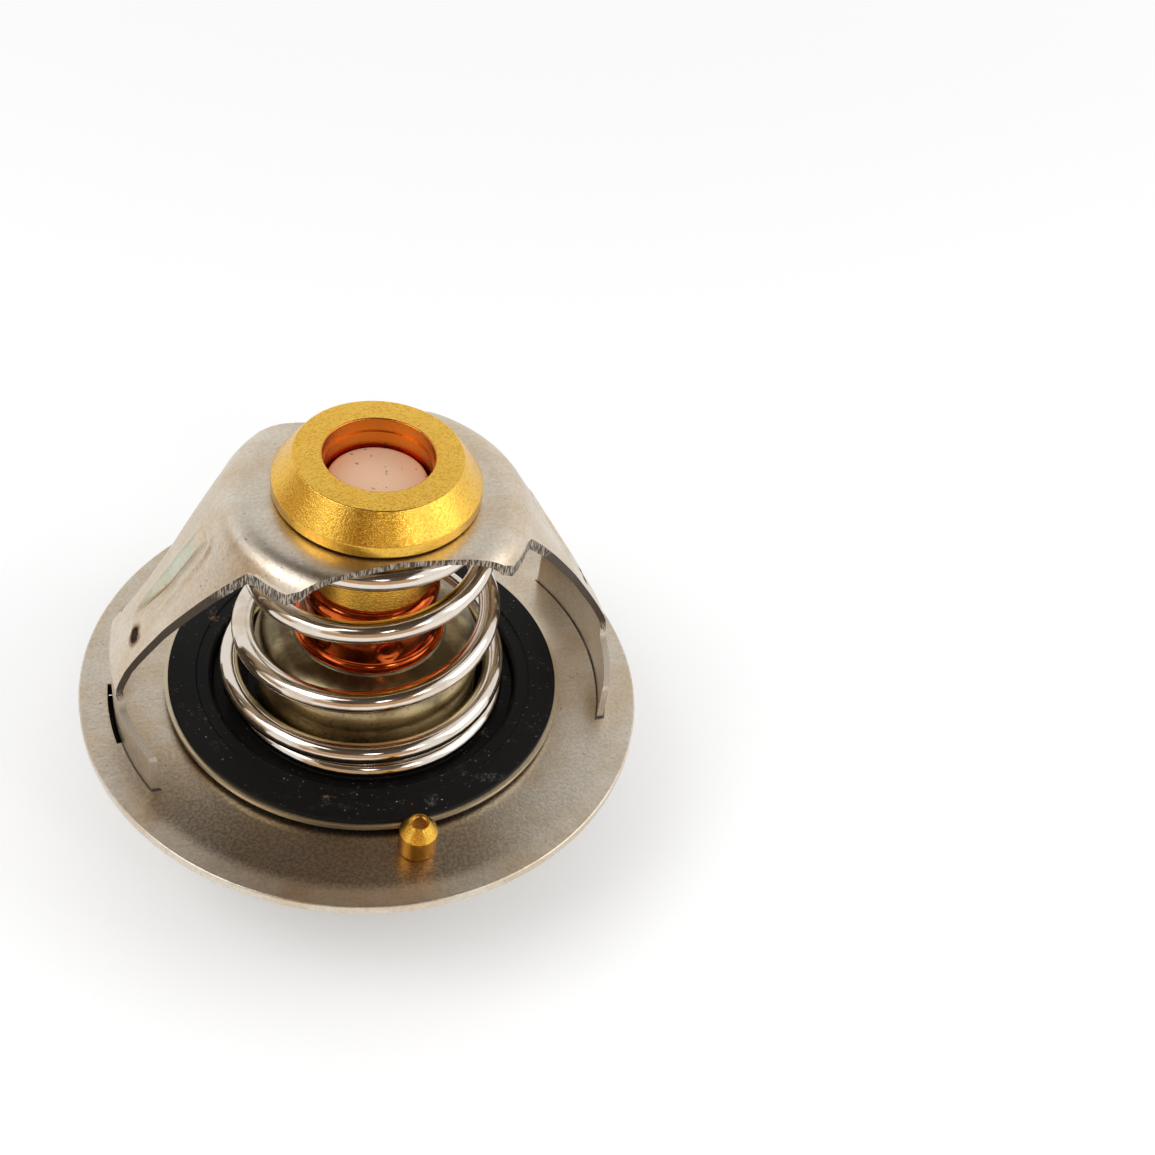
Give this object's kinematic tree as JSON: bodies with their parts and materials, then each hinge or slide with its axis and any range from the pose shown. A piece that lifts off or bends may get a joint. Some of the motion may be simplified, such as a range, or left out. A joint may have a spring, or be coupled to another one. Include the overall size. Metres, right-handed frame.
{
  "type": "engine thermostat",
  "caption": "Wax-element engine thermostat: flat round flange, sprung poppet valve under a two-legged bridge, and a brass bypass ring on top.",
  "frame": {"origin": "centre of the flange at its upper face, on the valve's axis, with the valve shut", "axes": "+Z along the valve's axis towards the bypass ring, the way the valve opens; +X out along one leg of the spring bridge; the jiggle pin is at -Y"},
  "size_m": [0.086, 0.086, 0.0681],
  "materials": {
    "plated_steel": "satin plated sheet",
    "valve_steel": "drawn sheet with a warm tarnish",
    "spring_steel": "bright drawn wire",
    "brass": "turned",
    "copper": "copper, drawn and bright",
    "rod_steel": "ground and polished",
    "rubber": "moulded, slightly dusty",
    "wax": "wax mixed with copper powder",
    "washer_plastic": "turned PTFE"
  },
  "bodies": {
    "frame": {"flange": "plated_steel", "spring_bridge": "plated_steel", "piston_bridge": "plated_steel", "piston": "rod_steel", "main_spring": "spring_steel"},
    "valve": {"valve_disc": "valve_steel", "valve_rubber": "rubber", "element_capsule": "copper", "wax_charge": "wax", "rubber_boot": "rubber", "backup_washer": "washer_plastic", "piston_guide": "brass", "piston_wiper": "rubber", "wiper_washer": "rod_steel", "element_retainer": "valve_steel", "bypass_ring": "brass"},
    "jiggle_pin": {"jiggle_pin": "brass"}
  },
  "joints": [
    {"name": "valve_lift", "type": "slide", "parent": "frame", "child": "valve", "axis": [0, 0, 1], "range_m": [0, 0.01], "stiffness_N_per_m": 7000, "springref_m": -0.012, "deforming": ["main_spring"]},
    {"name": "jiggle_pin_lift", "type": "slide", "parent": "frame", "child": "jiggle_pin", "axis": [0, 0, 1], "range_m": [0, 0.0015]}
  ]
}
